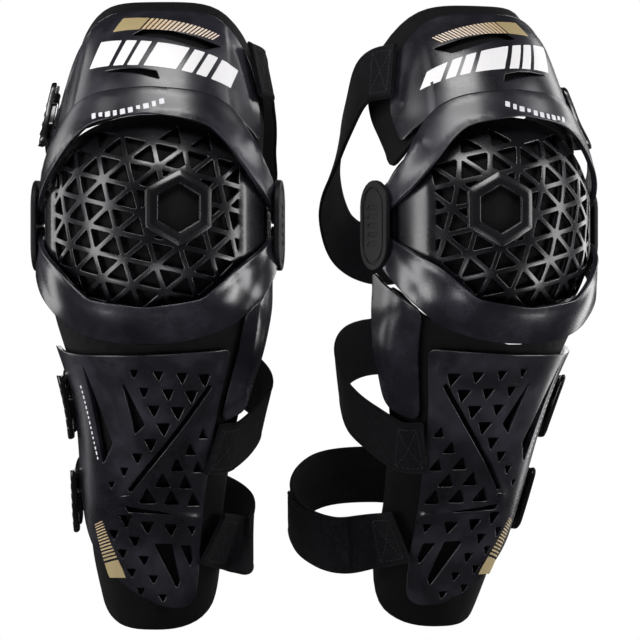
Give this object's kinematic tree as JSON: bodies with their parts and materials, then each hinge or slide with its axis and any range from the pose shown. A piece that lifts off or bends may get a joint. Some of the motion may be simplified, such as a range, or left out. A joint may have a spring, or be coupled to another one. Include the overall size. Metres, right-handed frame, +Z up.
{
  "type": "knee guards",
  "caption": "Hinged knee and shin guards for motorcycle riding, with a perforated knee cup, shin plate, thigh plate and leg straps.",
  "frame": {"origin": "midway between the two guards, level with the middle of the knee, halfway between the two pivots of each guard", "axes": "+Z up along the leg, -Y to the front of the knee, +X to the wearer's side of the right-hand guard in the front view"},
  "size_m": [0.449, 0.2433, 0.488],
  "materials": {
    "satin_shell": "satin black injection-moulded plastic with fine scuffs",
    "gloss_shell": "glossier black moulded plastic",
    "cup_plastic": "darker satin black moulded plastic",
    "hinge_plastic": "matte black moulded plastic",
    "foam": "black fabric-faced foam",
    "webbing": "black brushed loop webbing",
    "clip_plastic": "glossy black plastic",
    "pin_steel": "plain steel"
  },
  "bodies": {
    "right_shin": {"right_lower_frame": "gloss_shell", "right_shin_plate": "satin_shell", "right_shin_pad": "foam", "right_side_wing": "gloss_shell", "right_upper_calf_strap": "webbing", "right_lower_calf_strap": "webbing", "right_upper_calf_clip_post": "clip_plastic", "right_lower_calf_clip_post": "clip_plastic"},
    "right_knee": {"right_knee_cup": "cup_plastic", "right_knee_pad": "foam", "right_hinge_cover_facing": "hinge_plastic", "right_hinge_cover_outer": "hinge_plastic", "right_upper_pin_facing": "pin_steel", "right_upper_pin_outer": "pin_steel", "right_lower_pin_facing": "pin_steel", "right_lower_pin_outer": "pin_steel"},
    "right_thigh": {"right_upper_frame": "satin_shell", "right_thigh_plate": "satin_shell", "right_thigh_pad": "foam", "right_thigh_strap": "webbing", "right_thigh_clip_post": "clip_plastic"},
    "right_thigh_latch": {"right_thigh_clip": "clip_plastic"},
    "right_upper_calf_latch": {"right_upper_calf_clip": "clip_plastic"},
    "right_lower_calf_latch": {"right_lower_calf_clip": "clip_plastic"},
    "left_shin": {"left_lower_frame": "gloss_shell", "left_shin_plate": "satin_shell", "left_shin_pad": "foam", "left_side_wing": "gloss_shell", "left_upper_calf_strap": "webbing", "left_lower_calf_strap": "webbing", "left_upper_calf_clip_post": "clip_plastic", "left_lower_calf_clip_post": "clip_plastic"},
    "left_knee": {"left_knee_cup": "cup_plastic", "left_knee_pad": "foam", "left_hinge_cover_facing": "hinge_plastic", "left_hinge_cover_outer": "hinge_plastic", "left_upper_pin_facing": "pin_steel", "left_upper_pin_outer": "pin_steel", "left_lower_pin_facing": "pin_steel", "left_lower_pin_outer": "pin_steel"},
    "left_thigh": {"left_upper_frame": "satin_shell", "left_thigh_plate": "satin_shell", "left_thigh_pad": "foam", "left_thigh_strap": "webbing", "left_thigh_clip_post": "clip_plastic"},
    "left_thigh_latch": {"left_thigh_clip": "clip_plastic"},
    "left_upper_calf_latch": {"left_upper_calf_clip": "clip_plastic"},
    "left_lower_calf_latch": {"left_lower_calf_clip": "clip_plastic"}
  },
  "joints": [
    {"name": "right_lower_axis", "type": "hinge", "parent": "right_shin", "child": "right_knee", "pos_m": [0.127, 0, -0.0145], "axis": [-0.9537, -0.3007, 0], "range_deg": [0, 35], "deforming": ["right_upper_calf_strap"]},
    {"name": "right_upper_axis", "type": "hinge", "parent": "right_knee", "child": "right_thigh", "pos_m": [0.127, 0, 0.0145], "axis": [-0.9537, -0.3007, 0], "range_deg": [0, 35], "deforming": ["right_thigh_strap"]},
    {"name": "right_thigh_clip_swing", "type": "hinge", "parent": "right_thigh", "child": "right_thigh_latch", "pos_m": [0.20026, 0.06146, 0.086], "axis": [-0.2762, 0.5107, 0.8142], "range_deg": [0, 45]},
    {"name": "right_upper_calf_clip_swing", "type": "hinge", "parent": "right_shin", "child": "right_upper_calf_latch", "pos_m": [0.18698, 0.06537, -0.14], "axis": [0.2188, -0.3142, 0.9238], "range_deg": [0, 45]},
    {"name": "right_lower_calf_clip_swing", "type": "hinge", "parent": "right_shin", "child": "right_lower_calf_latch", "pos_m": [0.17407, 0.1005, -0.214], "axis": [0.1223, -0.4842, 0.8664], "range_deg": [0, 45]},
    {"name": "left_lower_axis", "type": "hinge", "parent": "left_shin", "child": "left_knee", "pos_m": [-0.127, 0, -0.0145], "axis": [-0.9537, 0.3007, 0], "range_deg": [0, 35], "deforming": ["left_upper_calf_strap"]},
    {"name": "left_upper_axis", "type": "hinge", "parent": "left_knee", "child": "left_thigh", "pos_m": [-0.127, 0, 0.0145], "axis": [-0.9537, 0.3007, 0], "range_deg": [0, 35], "deforming": ["left_thigh_strap"]},
    {"name": "left_thigh_clip_swing", "type": "hinge", "parent": "left_thigh", "child": "left_thigh_latch", "pos_m": [-0.20026, 0.06146, 0.086], "axis": [-0.2762, -0.5107, -0.8142], "range_deg": [0, 45]},
    {"name": "left_upper_calf_clip_swing", "type": "hinge", "parent": "left_shin", "child": "left_upper_calf_latch", "pos_m": [-0.18698, 0.06537, -0.14], "axis": [0.2188, 0.3142, -0.9238], "range_deg": [0, 45]},
    {"name": "left_lower_calf_clip_swing", "type": "hinge", "parent": "left_shin", "child": "left_lower_calf_latch", "pos_m": [-0.17407, 0.1005, -0.214], "axis": [0.1223, 0.4842, -0.8664], "range_deg": [0, 45]},
    {"name": "pair_spacing", "type": "slide", "parent": "right_shin", "child": "left_shin", "axis": [-1, 0, 0], "range_m": [0, 0.1]}
  ]
}
